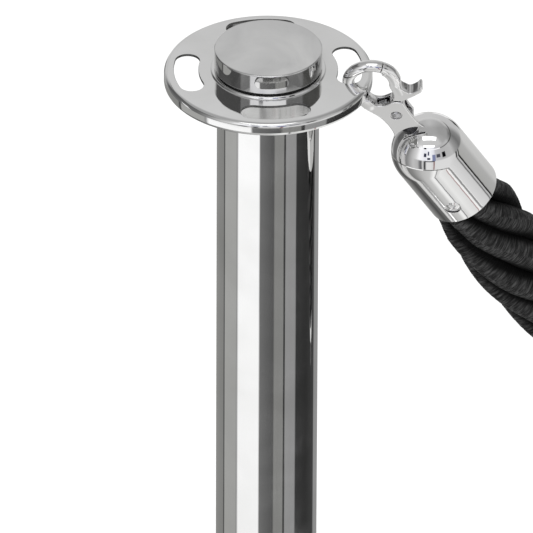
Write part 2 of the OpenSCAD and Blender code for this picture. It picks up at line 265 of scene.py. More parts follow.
# ------------------------------------------------------------------ materials

def tex(t):
    return t.add("ShaderNodeTexCoord").outputs["Object"]

def m_polished(t, p):
    # mirror-polished stainless steel: faint up-and-down buffing lines and a few smears
    v = tex(t)
    fine = t.noise(t.mapping(v, (1800, 1800, 18)), 1.0, 2.0)
    smear = t.noise(v, 38.0, 3.0, 0.55, 0.4)
    t.put(p.inputs["Roughness"], t.math("ADD", t.math("MULTIPLY", fine, 0.018),
          t.mapr(smear, 0.35, 0.75, 0.018, 0.05)))
    broad = t.noise(v, 17.0, 2.0, 0.5, 0.8)
    t.put(p.inputs["Base Color"], t.ramp(t.math("ADD", t.math("MULTIPLY", smear, 0.4), t.math("MULTIPLY", broad, 0.6)),
          [(0.34, [.74, .74, .735, 1]), (0.66, [.84, .84, .84, 1])]))
    t.put(p.inputs["Normal"], t.bump(fine, 0.012, 0.0003))

def m_chrome(t, p):
    # bright plating on a die casting: very slightly uneven
    v = tex(t)
    wave = t.noise(v, 160.0, 2.0)
    smear = t.noise(v, 55.0, 3.0)
    t.put(p.inputs["Roughness"], t.mapr(smear, 0.3, 0.75, 0.02, 0.055))
    t.put(p.inputs["Base Color"], t.ramp(smear, [(0.3, [.845, .84, .84, 1]), (0.7, [.88, .88, .88, 1])]))
    t.put(p.inputs["Normal"], t.bump(wave, 0.035, 0.0006))

def m_cut(t, p):
    # punched edge, rougher than the faces; its near-black colour paints the dark line of shade along the slot edges
    v = tex(t)
    g = t.noise(t.mapping(v, (1, 1, 0.2)), 1500.0, 2.0)
    t.put(p.inputs["Base Color"], t.ramp(g, [(0.3, [.10, .10, .10, 1]), (0.7, [.22, .22, .22, 1])]))
    t.put(p.inputs["Roughness"], t.mapr(g, 0.3, 0.7, 0.32, 0.5))

def m_cap(t, p):
    # turned and polished: very faint marks round the middle
    v = tex(t)
    sep = t.add("ShaderNodeSeparateXYZ"); t.put(sep.inputs[0], v)
    rad = t.math("SQRT", t.math("ADD", t.math("MULTIPLY", sep.outputs[0], sep.outputs[0]), t.math("MULTIPLY", sep.outputs[1], sep.outputs[1])))
    comb = t.add("ShaderNodeCombineXYZ"); t.put(comb.inputs[0], rad)
    ringn = t.noise(comb.outputs[0], 2600.0, 2.0)
    broad = t.noise(v, 26.0, 3.0, 0.55, 1.2)
    t.put(p.inputs["Base Color"], t.ramp(broad, [(0.34, [.63, .63, .63, 1]), (0.66, [.74, .74, .735, 1])]))
    t.put(p.inputs["Roughness"], t.math("ADD", t.mapr(ringn, 0.3, 0.7, 0.0, 0.03), 0.03))
    t.put(p.inputs["Normal"], t.bump(ringn, 0.02, 0.0002))

def m_pin(t, p):
    v = tex(t)
    g = t.noise(v, 900.0, 2.0)
    t.put(p.inputs["Base Color"], t.ramp(g, [(0.3, [.46, .46, .47, 1]), (0.7, [.60, .60, .61, 1])]))
    t.put(p.inputs["Roughness"], t.mapr(g, 0.3, 0.7, 0.10, 0.2))

def m_satin(t, p):
    v = tex(t)
    g = t.noise(t.mapping(v, (420, 420, 10)), 1.0, 1.0)
    t.put(p.inputs["Base Color"], t.ramp(g, [(0.3, [.70, .70, .695, 1]), (0.7, [.75, .75, .745, 1])]))
    t.put(p.inputs["Roughness"], t.mapr(g, 0.3, 0.7, 0.15, 0.19))

def m_stud(t, p):
    # machined steel coloured near-black: painted shadow for the dark gap under the hook's foot
    v = tex(t)
    turn = t.noise(t.mapping(v, (300, 300, 300)), 6.0, 2.0)
    t.put(p.inputs["Roughness"], t.mapr(turn, 0.3, 0.7, 0.16, 0.3))
    t.put(p.inputs["Base Color"], t.ramp(turn, [(0.3, [.035, .035, .038, 1]), (0.7, [.08, .08, .084, 1])]))

def m_flat_chrome(t, p):
    v = tex(t)
    wave = t.noise(v, 90.0, 2.0)
    grain = t.noise(v, 1500.0, 2.0)
    t.put(p.inputs["Roughness"], t.mapr(wave, 0.3, 0.75, 0.10, 0.17))
    t.put(p.inputs["Base Color"], t.ramp(wave, [(0.3, [.84, .825, .82, 1]), (0.7, [.88, .87, .865, 1])]))
    t.put(p.inputs["Normal"], t.bump(grain, 0.05, 0.0002))

def m_zinc(t, p):
    v = tex(t)
    s = t.add("ShaderNodeTexVoronoi"); t.put(s.inputs["Vector"], v); s.inputs["Scale"].default_value = 420
    sc = t.noise(v, 700.0, 3.0)
    t.put(p.inputs["Base Color"], t.ramp(s.outputs["Distance"], [(0.1, [.46, .47, .47, 1]), (0.8, [.62, .62, .61, 1])]))
    t.put(p.inputs["Roughness"], t.mapr(sc, 0.3, 0.7, 0.22, 0.42))
    t.put(p.inputs["Normal"], t.bump(sc, 0.15, 0.0003))

def m_wire(t, p):
    v = tex(t)
    sc = t.noise(v, 900.0, 2.0)
    t.put(p.inputs["Roughness"], t.mapr(sc, 0.3, 0.7, 0.16, 0.30))
    t.put(p.inputs["Base Color"], t.ramp(sc, [(0.3, [.40, .40, .41, 1]), (0.7, [.52, .52, .52, 1])]))

def m_iron(t, p):
    v = tex(t)
    a = t.noise(v, 240.0, 4.0, 0.6); b = t.noise(v, 40.0, 3.0)
    t.put(p.inputs["Base Color"], t.ramp(b, [(0.3, [.035, .035, .037, 1]), (0.7, [.06, .06, .062, 1])]))
    t.put(p.inputs["Roughness"], t.mapr(a, 0.3, 0.7, 0.5, 0.75))
    t.put(p.inputs["Normal"], t.bump(a, 0.5, 0.0012))

def m_rubber(t, p):
    v = tex(t)
    a = t.noise(v, 900.0, 3.0); b = t.noise(v, 60.0, 3.0)
    t.put(p.inputs["Base Color"], t.ramp(b, [(0.3, [.010, .010, .010, 1]), (0.7, [.022, .022, .022, 1])]))
    t.put(p.inputs["Roughness"], t.mapr(a, 0.3, 0.7, 0.62, 0.8))
    t.put(p.inputs["Normal"], t.bump(a, 0.25, 0.0003))

def m_rope(t, p):
    # fine glossy filaments wrapped across each strand; the colour goes black down in the grooves as painted shade, and
    # the light end of the filament tone paints sheen on the crowns
    uv = t.add("ShaderNodeUVMap").outputs[0]
    sep = t.add("ShaderNodeSeparateXYZ"); t.put(sep.inputs[0], uv)
    crown_vs_shaded_groove = t.mapr(t.math("COSINE", t.math("DIVIDE", sep.outputs[1], 9 * MM)), 0.38, 0.99, smooth=True)
    fil = t.noise(t.mapping(uv, (1.0, 0.05, 1), (0, 0, 0.06)), 3500.0, 3.0, 0.6)
    yarn = t.noise(t.mapping(uv, (1.0, 0.10, 1), (0, 0, 0.10)), 1000.0, 2.0, 0.5)
    fuzz = t.noise(t.mapping(uv, (1, 1, 1)), 900.0, 3.0, 0.6)
    mixd = t.math("ADD", t.math("MULTIPLY", fil, 0.6), t.math("MULTIPLY", yarn, 0.6))
    # filament colour: random tone, with its light end lifted to paint the crowns' sheen
    filament_tone_and_sheen = t.ramp(mixd, [(0.40, [.0025, .0025, .0025, 1]), (0.56, [.010, .010, .010, 1]), (0.66, [.040, .040, .040, 1]), (0.82, [.10, .10, .10, 1])])
    # painted shade: the colour falls to near black away from the crown of each strand
    t.put(p.inputs["Base Color"], t.mixc(crown_vs_shaded_groove, [.0010, .0010, .0010, 1], filament_tone_and_sheen))
    gloss = t.math("ADD", t.mapr(fuzz, 0.3, 0.7, 0.30, 0.42), t.mapr(mixd, 0.40, 0.70, 0.22, 0.0))
    t.put(p.inputs["Roughness"], t.math("ADD", gloss, t.math("MULTIPLY", t.math("SUBTRACT", 1.0, crown_vs_shaded_groove), 0.35)))
    b1 = t.bump(yarn, 0.55, 0.0006)
    t.put(p.inputs["Normal"], t.bump(fil, 0.65, 0.0003, b1))

M = {
    "polished": material("polished_steel", (.83, .83, .83, 1), 1, .04, m_polished),
    "chrome": material("chrome_plate", (.86, .86, .86, 1), 1, .04, m_chrome),
    # cut: the slot walls' dark colour is painted shade
    "cut": material("cut_edge_painted_shade", (.26, .26, .26, 1), 1, .42, m_cut),
    "cap": material("turned_cap_steel", (.7, .7, .7, 1), 1, .05, m_cap),
    "pin": material("rivet_steel", (.4, .4, .4, 1), 1, .14, m_pin),
    "satin": material("satin_socket", (.74, .74, .735, 1), 1, .26, m_satin),
    # stud: its near-black colour paints the shadow under the hook's foot
    "stud": material("stud_painted_shadow", (.06, .06, .06, 1), 1, .2, m_stud),
    "zinc": material("zinc_steel", (.6, .6, .6, 1), 1, .3, m_zinc),
    "wire": material("spring_wire", (.5, .5, .5, 1), 1, .2, m_wire),
    "iron": material("painted_iron", (.05, .05, .05, 1), 0, .6, m_iron),
    "rubber": material("black_rubber", (.02, .02, .02, 1), 0, .7, m_rubber),
    "rope": material("black_rope", (.02, .02, .02, 1), 0, .5, m_rope, Specular_IOR_Level=0.16),
}

# ------------------------------------------------------------------ mesh helpers

def new_object(name, verts, faces, mat, body, replaces=(), normals=None, matrix=None, smooth=True):
    """verts in mm; matrix places them in the part's frame."""
    v = np.asarray(verts, float)
    if matrix is not None:
        v = v @ matrix[:3, :3].T + matrix[:3, 3]
        if normals is not None: normals = normals @ matrix[:3, :3].T
    me = bpy.data.meshes.new(name)
    if isinstance(faces, np.ndarray):
        k = faces.shape[1]
        me.vertices.add(len(v)); me.vertices.foreach_set("co", (v * MM).astype(np.float32).ravel())
        me.loops.add(faces.size); me.loops.foreach_set("vertex_index", faces.astype(np.int32).ravel())
        me.polygons.add(len(faces))
        me.polygons.foreach_set("loop_start", np.arange(0, faces.size, k, dtype=np.int32))
        me.update(calc_edges=True)
    else:
        me.from_pydata((v * MM).tolist(), [], faces)
    me.validate()
    me.polygons.foreach_set("use_smooth", [smooth] * len(me.polygons))
    if normals is not None and len(normals) == len(me.vertices):
        me.normals_split_custom_set_from_vertices(np.asarray(normals, float).tolist())
    me.materials.append(M[mat])
    o = bpy.data.objects.new(name, me); scene.collection.objects.link(o)
    if body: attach(o, body)
    if replaces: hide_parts(*([replaces] if isinstance(replaces, str) else replaces))
    return o

def arc(cx, cy, r, a0, a1, n):
    return [(cx + r * math.cos(math.radians(a0 + (a1 - a0) * i / n)),
             cy + r * math.sin(math.radians(a0 + (a1 - a0) * i / n))) for i in range(n + 1)]

def fillet(pts, rads, n=6, closed=True):
    """Rounds each corner of a profile with its own radius."""
    out = []
    N = len(pts)
    for i, p in enumerate(pts):
        r = rads[i] if not np.isscalar(rads) else rads
        if r <= 0 or (not closed and i in (0, N - 1)):
            out.append(tuple(p)); continue
        a, b, c = np.array(pts[i - 1], float), np.array(p, float), np.array(pts[(i + 1) % N], float)
        u, w = a - b, c - b
        lu, lw = np.linalg.norm(u), np.linalg.norm(w)
        u, w = u / lu, w / lw
        cosA = float(np.clip(u @ w, -1, 1)); half = math.acos(cosA) / 2
        if half > math.radians(88.5): out.append(tuple(p)); continue
        t = min(r / math.tan(half), 0.48 * lu, 0.48 * lw); rr = t * math.tan(half)
        cen = b + (u + w) / np.linalg.norm(u + w) * rr / math.sin(half)
        s, e = b + u * t - cen, b + w * t - cen
        a0, a1 = math.atan2(s[1], s[0]), math.atan2(e[1], e[0])
        da = (a1 - a0 + math.pi) % (2 * math.pi) - math.pi
        for k in range(n + 1):
            q = a0 + da * k / n
            out.append((cen[0] + rr * math.cos(q), cen[1] + rr * math.sin(q)))
    return out

def lathe(prof, seg):
    """Closed profile of (r, z) turned round Z: quads, watertight."""
    P = np.array(prof, float); n = len(P)
    # run the profile so that the faces look outward
    area2 = np.sum(P[:, 0] * np.roll(P[:, 1], -1) - np.roll(P[:, 0], -1) * P[:, 1])
    if area2 < 0: P = P[::-1]
    a = np.arange(seg) * 2 * math.pi / seg
    v = np.stack([P[:, 0][:, None] * np.cos(a), P[:, 0][:, None] * np.sin(a),
                  np.repeat(P[:, 1][:, None], seg, 1)], -1).reshape(-1, 3)
    i = np.arange(n)[:, None]; j = np.arange(seg)[None, :]
    i2, j2 = (i + 1) % n, (j + 1) % seg
    f = np.stack([i * seg + j, i * seg + j2, i2 * seg + j2, i2 * seg + j], -1).reshape(-1, 4)
    return v, f

def solid_of_axis(v, f, prof_on_axis=False):
    return v, f

def lathe_open(prof, seg):
    """Profile that starts and ends on the axis (r=0): the ends are closed with fans."""
    P = np.array(prof, float)
    inner = P[1:-1]; n = len(inner)
    a = np.arange(seg) * 2 * math.pi / seg
    v = np.stack([inner[:, 0][:, None] * np.cos(a), inner[:, 0][:, None] * np.sin(a),
                  np.repeat(inner[:, 1][:, None], seg, 1)], -1).reshape(-1, 3)
    v = np.vstack([v, [0, 0, P[0, 1]], [0, 0, P[-1, 1]]])
    F = []
    up = P[-1, 1] >= P[0, 1]
    for i in range(n - 1):
        for j in range(seg):
            k = (j + 1) % seg
            q = [i * seg + j, i * seg + k, (i + 1) * seg + k, (i + 1) * seg + j]
            F.append(q if up else q[::-1])
    for j in range(seg):
        k = (j + 1) % seg
        q = [len(v) - 2, k, j]; F.append(q if up else q[::-1])
        q = [len(v) - 1, (n - 1) * seg + j, (n - 1) * seg + k]; F.append(q if up else q[::-1])
    return v, F

def weighted(o):
    m = o.modifiers.new("normals", "WEIGHTED_NORMAL")
    m.mode = "FACE_AREA_WITH_ANGLE"; m.weight = 80; m.keep_sharp = False
    return o

def xform(pos, rot):
    m = np.eye(4)
    m[:3, :3] = np.array(Euler([math.radians(a) for a in rot], "XYZ").to_matrix())
    m[:3, 3] = pos
    return m

NEAR = xform((63.5, 0.3, 926.1), (21, -26.5, -10))
FAR = xform((276.5, 128, 622), (0, 134, 31))

# ------------------------------------------------------------------ solids from distance fields (mm)

def smin(a, b, k):
    h = np.clip(0.5 + 0.5 * (b - a) / k, 0, 1)
    return b * (1 - h) + a * h - k * h * (1 - h)

def smax(a, b, k):
    return -smin(-a, -b, k)

def d_capsule(p, a, b, r0, r1=None):
    a, b = np.array(a, float), np.array(b, float)
    ab = b - a; t = np.clip(((p - a) @ ab) / (ab @ ab), 0, 1)
    r = r0 if r1 is None else r0 + (r1 - r0) * t
    return np.linalg.norm(p - a - t[:, None] * ab, axis=1) - r

def d_arc(p, cx, cz, R, a0, a1, r):
    x, z = p[:, 0] - cx, p[:, 2] - cz
    mid, half = (a0 + a1) / 2, (a1 - a0) / 2
    da = np.clip((np.degrees(np.arctan2(z, x)) - mid + 180) % 360 - 180, -half, half)
    th = np.radians(mid + da)
    return np.sqrt((x - R * np.cos(th)) ** 2 + (z - R * np.sin(th)) ** 2 + p[:, 1] ** 2) - r

def d_box(p, lo, hi, r=0.0):
    c, h = (np.array(lo, float) + hi) / 2, (np.array(hi, float) - lo) / 2 - r
    q = np.abs(p - c) - h
    return np.linalg.norm(np.maximum(q, 0), axis=1) + np.minimum(q.max(1), 0) - r

def d_poly(x, z, pts):
    P = np.array(pts, float); d = np.full(len(x), 1e18); s = np.ones(len(x))
    for i in range(len(P)):
        vi, vj = P[i], P[i - 1]; e = vj - vi
        wx, wz = x - vi[0], z - vi[1]
        t = np.clip((wx * e[0] + wz * e[1]) / (e @ e), 0, 1)
        d = np.minimum(d, (wx - e[0] * t) ** 2 + (wz - e[1] * t) ** 2)
        c1, c2, c3 = z >= vi[1], z < vj[1], e[0] * wz > e[1] * wx
        s = np.where((c1 & c2 & c3) | (~c1 & ~c2 & ~c3), -s, s)
    return s * np.sqrt(d)

def d_slab(d2, y, half, r):
    """Outline d2 extruded to |y| < half, edges rounded by r."""
    a, b = d2 + r, np.abs(y) - half + r
    return np.minimum(np.maximum(a, b), 0) + np.sqrt(np.maximum(a, 0) ** 2 + np.maximum(b, 0) ** 2) - r

def chaikin(pts, n=1):
    P = np.array(pts, float)
    for _ in range(n):
        Q = np.roll(P, -1, 0)
        P = np.stack([0.75 * P + 0.25 * Q, 0.25 * P + 0.75 * Q], 1).reshape(-1, 2)
    return P

CORN = np.array([(i, j, k) for i in (0, 1) for j in (0, 1) for k in (0, 1)])

def grad(f, P, e=0.01):
    g = np.empty_like(P)
    for k in range(3):
        d = np.zeros(3); d[k] = e
        g[:, k] = (f(P + d) - f(P - d)) / (2 * e)
    return g

def nets(f, lo, hi, h):
    """Surface of f < 0 as quads, its points moved onto the surface; also the exact normals."""
    lo = np.array(lo, float); n = np.ceil((np.array(hi, float) - lo) / h).astype(int) + 1
    ax = [lo[k] + h * np.arange(n[k]) for k in range(3)]
    V = np.empty(n)
    flat = np.stack(np.meshgrid(ax[1], ax[2], indexing="ij"), -1).reshape(-1, 2)
    step = max(1, int(2e5 // len(flat)))
    for i in range(0, n[0], step):
        xs = ax[0][i:i + step]
        P = np.empty((len(xs), len(flat), 3)); P[..., 0] = xs[:, None]; P[..., 1:] = flat
        V[i:i + step] = f(P.reshape(-1, 3)).reshape(len(xs), n[1], n[2])
    S = V < 0
    c = sum(S[i:n[0] - 1 + i, j:n[1] - 1 + j, k:n[2] - 1 + k].astype(int) for i, j, k in CORN)
    act = (c > 0) & (c < 8)
    idx = -np.ones(act.shape, int); idx[act] = np.arange(act.sum()); base = np.argwhere(act)
    acc, cnt = np.zeros((len(base), 3)), np.zeros(len(base))
    for a in CORN:
        for b in CORN:
            if (b - a).min() < 0 or (b - a).sum() != 1: continue
            va, vb = V[tuple((base + a).T)], V[tuple((base + b).T)]
            m = (va < 0) != (vb < 0); t = np.where(m, va / np.where(m, va - vb, 1), 0)
            acc[m] += (base + a + t[:, None] * (b - a))[m]; cnt[m] += 1
    pos = lo + h * acc / cnt[:, None]
    F = []
    for a in range(3):
        e = np.zeros(3, int); e[a] = 1
        sl = [slice(0, n[k] - e[k]) for k in range(3)]; sh = [slice(e[k], n[k]) for k in range(3)]
        A, B = S[tuple(sl)], S[tuple(sh)]
        q = np.argwhere(A != B); u, v = (a + 1) % 3, (a + 2) % 3
        q = q[(q[:, u] > 0) & (q[:, v] > 0) & (q[:, u] < n[u] - 1) & (q[:, v] < n[v] - 1)]
        eu, ev = np.zeros(3, int), np.zeros(3, int); eu[u] = 1; ev[v] = 1
        quad = np.stack([idx[tuple((q - eu - ev).T)], idx[tuple((q - ev).T)], idx[tuple(q.T)], idx[tuple((q - eu).T)]], 1)
        out = A[tuple(q.T)]
        quad[~out] = quad[~out][:, ::-1]
        F.append(quad)
    F = np.vstack(F)
    for _ in range(3):
        g = grad(f, pos); d = f(pos)
        stepv = g * (d / np.maximum((g * g).sum(1), 0.25))[:, None]
        ln = np.linalg.norm(stepv, axis=1)[:, None]
        pos = pos - stepv * np.minimum(1, 0.4 * h / np.maximum(ln, 1e-9))
    g = grad(f, pos, 0.02); g /= np.maximum(np.linalg.norm(g, axis=1), 1e-9)[:, None]
    return pos, F, g

EYE_Z, EYE_R, SEAM = 26.0, 11.5, 40.0

BODY_OUT = chaikin([(-12.6, 16.9), (-11.5, 12), (-9.6, 7.2), (-8.1, 3.4), (-7.25, -1), (-7.0, -6), (-7.25, -10),
    (-7.95, -13.5), (-9.9, -17.6), (9.5, -17.6), (7.75, -13.5), (7.1, -10), (6.85, -6), (6.85, 0), (7.25, 4.5),
    (7.5, 6.8), (6.2, 7.95), (4.6, 9.0), (2.8, 9.7), (0.5, 9.4), (-2, 9.3), (-4.5, 10.3), (-6.1, 12.3), (-6.6, 16.5)])

def f_hook_body(p):
    x, y, z = p[:, 0], p[:, 1], p[:, 2]
    out = d_poly(x, z, BODY_OUT)
    out = smax(out, 11.6 - np.sqrt(x * x + (z + 23.2) ** 2), 0.5)
    slab = d_slab(out, y, np.interp(z, [12, 17], [3.7, 3.1]), 0.45)
    slab = smax(slab, -smax(-1.75 - y, z + 6.2, 1.8), 0.5)          # flat tail on one side only
    q = np.sqrt(x * x + y * y)
    boss = smax(q - 3.15, np.maximum(z + 3, -11.7 - z), 0.4)         # round boss for the swivel
    slab = smin(slab, boss, 0.4)
    eye = d_arc(p, 0, EYE_Z, EYE_R, SEAM - 14, 188, 3.0)
    sa = math.radians(SEAM)
    cut = -(x * -math.sin(sa) + (z - EYE_Z) * math.cos(sa))        # flat end at the seam
    cut = np.where(x > -4, cut, -10)
    eye = smax(eye, cut, 0.25)
    a = (EYE_R * math.cos(math.radians(188)), 0, EYE_Z + EYE_R * math.sin(math.radians(188)))
    eye = smin(eye, d_capsule(p, a, (-8.9, 0, 11.5), 3.0), 0.4)
    d = smin(slab, eye, 1.6)
    d = smax(d, -d_box(p, (-5, -2, -5.4), (20, 2, 31), 0.3) , 0.3)
    rr = np.sqrt(x * x + z * z)
    d = smax(d, -(np.maximum(rr - 2.95, 3.0 - np.abs(y))), 0.2)    # rings round the pin's heads
    d = np.maximum(d, 1.52 - rr)
    d = np.maximum(d, -np.maximum(q - 1.65, z + 6))                 # swivel bore
    d = np.maximum(d, -np.maximum(np.maximum(q - 2.7, z + 2.2), -8.2 - z))
    return d

ARM = chaikin([(6.3, 14.8), (5.3, 12.6), (3.4, 10.2)] + arc(0, 0, 10.6, 70, 46, 3) + [(9.6, 7.9), (14.2, 8.6), (18.4, 9.4), (20.7, 10.8),
    (21.3, 12.8), (20.5, 13.2), (19.0, 11.9), (16.2, 11.2), (13.8, 11.3), (12.9, 12.8), (12.6, 15.4)] + arc(0, EYE_Z, 12.0, -36, 26, 6)
    + arc(0, EYE_Z, 8.75, 30, -36, 6))
G_A = math.radians(-9.6)
G_FOOT = np.array([EYE_R * math.cos(G_A), 0, EYE_Z + EYE_R * math.sin(G_A)])
G_DIR = np.array([math.sin(G_A), 0, -math.cos(G_A)])

def f_gate(p):
    x, y, z = p[:, 0], p[:, 1], p[:, 2]
    hub = d_slab(np.sqrt(x * x + z * z) - 4.7, y, 1.75, 0.25)
    web = d_slab(d_poly(x, z, [(-1.2, 4.2), (1.6, 9.6), (3.6, 11.2), (8.6, 8.2), (7.2, 5.2), (4.2, 1.6)]), y, 1.75, 0.2)
    core = smin(hub, web, 0.8)
    # arm: flat on its two sides, narrower up at the seam and out along the lever
    half = np.interp(z, [9, 12, 24, 32, 34.5], [3.15, 3.15, 2.95, 2.75, 2.6])
    half = half + np.interp(x, [12.5, 16, 20, 21.3], [0, 0.1, 0.15, -0.5])
    arm = d_slab(d_poly(x, z, ARM), y, half, 0.5)
    sb = math.radians(SEAM - 1.6)
    cut = x * -math.sin(sb) + (z - EYE_Z) * math.cos(sb)
    ring = d_arc(p, 0, EYE_Z, EYE_R, -9.6, SEAM + 6, 2.95)
    ring = smin(ring, d_capsule(p, G_FOOT, G_FOOT + 11.2 * G_DIR, 2.95), 0.2)
    d = smin(arm, ring, 0.5)
    # hollow on the lever for the thumb
    d = smax(d, 5.2 - np.sqrt((x - 16.6) ** 2 + (z - 16.7) ** 2 + 0.3 * y * y), 0.6)
    d = smin(d, core, 0.6)
    d = smax(d, cut, 0.25)
    return np.maximum(d, 1.55 - np.sqrt(x * x + z * z))

def f_screw(p):
    # round head, pressed cross recess; +Z is the way it faces, 0 is its seat
    x, y, z = p[:, 0], p[:, 1], p[:, 2]
    q = np.sqrt(x * x + y * y)
    head = np.maximum(np.sqrt(q * q + (z + 3.6) ** 2) - 4.62, -z)
    head = smax(head, q - 2.9, 0.25)
    d = np.minimum(head, np.maximum(q - 1.7, np.maximum(z - 0.1, -0.6 - z)))
    w = 0.30 + 0.1 * np.clip(z, 0, 1)
    cross = np.minimum(np.maximum(np.abs(x) - w, np.abs(y) - 1.75), np.maximum(np.abs(y) - w, np.abs(x) - 1.75))
    return smax(d, -np.maximum(cross, 0.15 + 0.3 * q - z), 0.12)

H = 0.3

def hook_pieces():
    made = {}
    made["body"] = nets(f_hook_body, (-16.5, -4.6, -18.6), (14.5, 4.6, 41.5), H)
    made["gate"] = nets(f_gate, (-6, -4, -6), (22.5, 4, 38.0), H)
    made["screw"] = nets(f_screw, (-3.4, -3.4, -0.9), (3.4, 3.4, 1.5), 0.12)
    return made

DOME_Z, FER_L, FER_R, FER_T = -16.5, 55.5, 19.0, 1.5
MOUTH_Z = DOME_Z - FER_L
SCREW_Z = MOUTH_Z + 11

def end_cap(name, body, mat4, node):
    c = DOME_Z - FER_R
    seg = 160
    # outer profile upwards from the mouth, then the inner one down again
    prof = [(FER_R - FER_T, MOUTH_Z + .25), (FER_R - FER_T + .3, MOUTH_Z), (FER_R - 0.45, MOUTH_Z)]
    prof += arc(FER_R - .45, MOUTH_Z + .45, .45, -90, 0, 5)[1:]
    prof += [(FER_R, MOUTH_Z + k * 2.0) for k in range(1, 18)]
    prof += arc(0, c, FER_R, 0, 79, 40)
    prof += [(3.4, DOME_Z - .08), (1.62, DOME_Z - .1), (1.62, DOME_Z - FER_T - .3), (4, DOME_Z - FER_T - .35)]
    prof += arc(0, c, FER_R - FER_T, 76, 0, 18)
    v, f = lathe(prof, seg)
    o = new_object(name, v, f, "chrome", body, node, matrix=mat4)
    # seats for the two screws
    cut = None
    for s in (-1, 1):
        bm = bmesh.new()
        bmesh.ops.create_cone(bm, cap_ends=True, segments=64, radius1=4.1, radius2=4.25, depth=6)
        me = bpy.data.meshes.new(name + "_cut"); bm.to_mesh(me); bm.free()
        c_ob = bpy.data.objects.new(name + "_cut%d" % s, me); scene.collection.objects.link(c_ob)
        local = Matrix.Translation(Vector((0, 0, SCREW_Z))) @ Matrix.Rotation(math.radians(s * 90), 4, "X") @ Matrix.Translation(Vector((0, 0, FER_R - 1.3 + 3)))
        c_ob.matrix_world = Matrix.Scale(MM, 4) @ Matrix(mat4.tolist()) @ local
        bpy.context.view_layer.update()
        b = o.modifiers.new("seat", "BOOLEAN"); b.object = c_ob; b.operation = "DIFFERENCE"; b.solver = "EXACT"
        cut = (cut or []) + [c_ob]
    bpy.context.view_layer.update()
    dg = bpy.context.evaluated_depsgraph_get()
    me = bpy.data.meshes.new_from_object(o.evaluated_get(dg))
    o.modifiers.clear()
    o.data = me
    for c_ob in cut: bpy.data.objects.remove(c_ob)
    bv = o.modifiers.new("bevel", "BEVEL"); bv.width = 0.00022; bv.segments = 3; bv.limit_method = "ANGLE"; bv.angle_limit = math.radians(42)
    weighted(o)
    return o

def screws(name, body, mat4, node, data):
    v, f, n = data
    V, F, N = [], [], []
    for s in (-1, 1):
        a = math.radians(s * 90)
        R = np.array([[1, 0, 0], [0, math.cos(a), -math.sin(a)], [0, math.sin(a), math.cos(a)]])
        spin = math.radians(28 if s == 1 else 11)
        Z = np.array([[math.cos(spin), -math.sin(spin), 0], [math.sin(spin), math.cos(spin), 0], [0, 0, 1]])
        w = v * [1.27, 1.27, 1.1] @ Z.T; w = w + [0, 0, FER_R - 0.95]
        F.append(f + len(v) * len(V)); V.append(w @ R.T + [0, 0, SCREW_Z]); m = n / [1.27, 1.27, 1.1]; m /= np.linalg.norm(m, axis=1)[:, None]; N.append(m @ Z.T @ R.T)
    return new_object(name, np.vstack(V), np.vstack(F), "chrome", body, node, np.vstack(N), mat4)

def coil(name, x0, x1, z, R, wire, turns, mat4, node):
    """Small extension spring along X with closed end turns."""
    n = int(turns * 28); S = 10
    t = np.linspace(0, 1, n)
    ease = np.where(t < .12, t / .12 * .05, np.where(t > .88, .95 + (t - .88) / .12 * .05, .05 + (t - .12) / .76 * .9))
    ang = t * turns * 2 * math.pi
    C = np.stack([x0 + wire + (x1 - x0 - 2 * wire) * ease, R * np.cos(ang), z + R * np.sin(ang)], 1)
    T = np.gradient(C, axis=0); T /= np.linalg.norm(T, axis=1)[:, None]
    U = np.stack([np.zeros(n), np.cos(ang), np.sin(ang)], 1)
    U -= (U * T).sum(1)[:, None] * T; U /= np.linalg.norm(U, axis=1)[:, None]
    W = np.cross(T, U)
    th = np.arange(S) * 2 * math.pi / S
    V = C[:, None] + wire * (np.cos(th)[None, :, None] * U[:, None] + np.sin(th)[None, :, None] * W[:, None])
    i = np.arange(n - 1)[:, None]; j = np.arange(S)[None]
    F = np.stack([i * S + j, i * S + (j + 1) % S, (i + 1) * S + (j + 1) % S, (i + 1) * S + j], -1).reshape(-1, 4)
    F = [list(map(int, q)) for q in F] + [list(range(S))[::-1], [int((n - 1) * S + k) for k in range(S)]]
    o = new_object(name, V.reshape(-1, 3), F, "wire", None, node, matrix=mat4)
    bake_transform(o)
    return o

def swivel(name, body, mat4, node):
    prof = [(0, DOME_Z - 7), (1.3, DOME_Z - 7), (1.6, DOME_Z - 6.6), (1.6, DOME_Z - .1)]
    prof += [(3.4, DOME_Z - .1)] + fillet([(3.4, DOME_Z - .1), (3.95, DOME_Z + .3), (3.95, DOME_Z + 3.3), (3.1, DOME_Z + 4.15), (1.6, DOME_Z + 4.2)], .5, 4, False)[1:]
    prof += [(1.6, -8.1), (2.2, -8.1), (2.4, -7.9), (2.4, -6.8), (1.9, -6.5), (0, -6.5)]
    v, f = lathe_open(prof, 64)
    return weighted(new_object(name, v, f, "stud", body, node, matrix=mat4))

def pin(name, body, mat4, node):
    h = 3.7
    half = [(0, h + .62), (.6, h + .6), (1.3, h + .5), (1.9, h + .28), (2.3, h - .1), (2.42, h - .42), (1.5, h - .43)]
    prof = [(r, -z) for r, z in half] + [(r, z) for r, z in half[::-1]]
    v, f = lathe_open(prof, 64)
    w = v.copy(); w[:, 1], w[:, 2] = -v[:, 2], v[:, 1]
    return weighted(new_object(name, w, f, "pin", body, node, matrix=mat4))

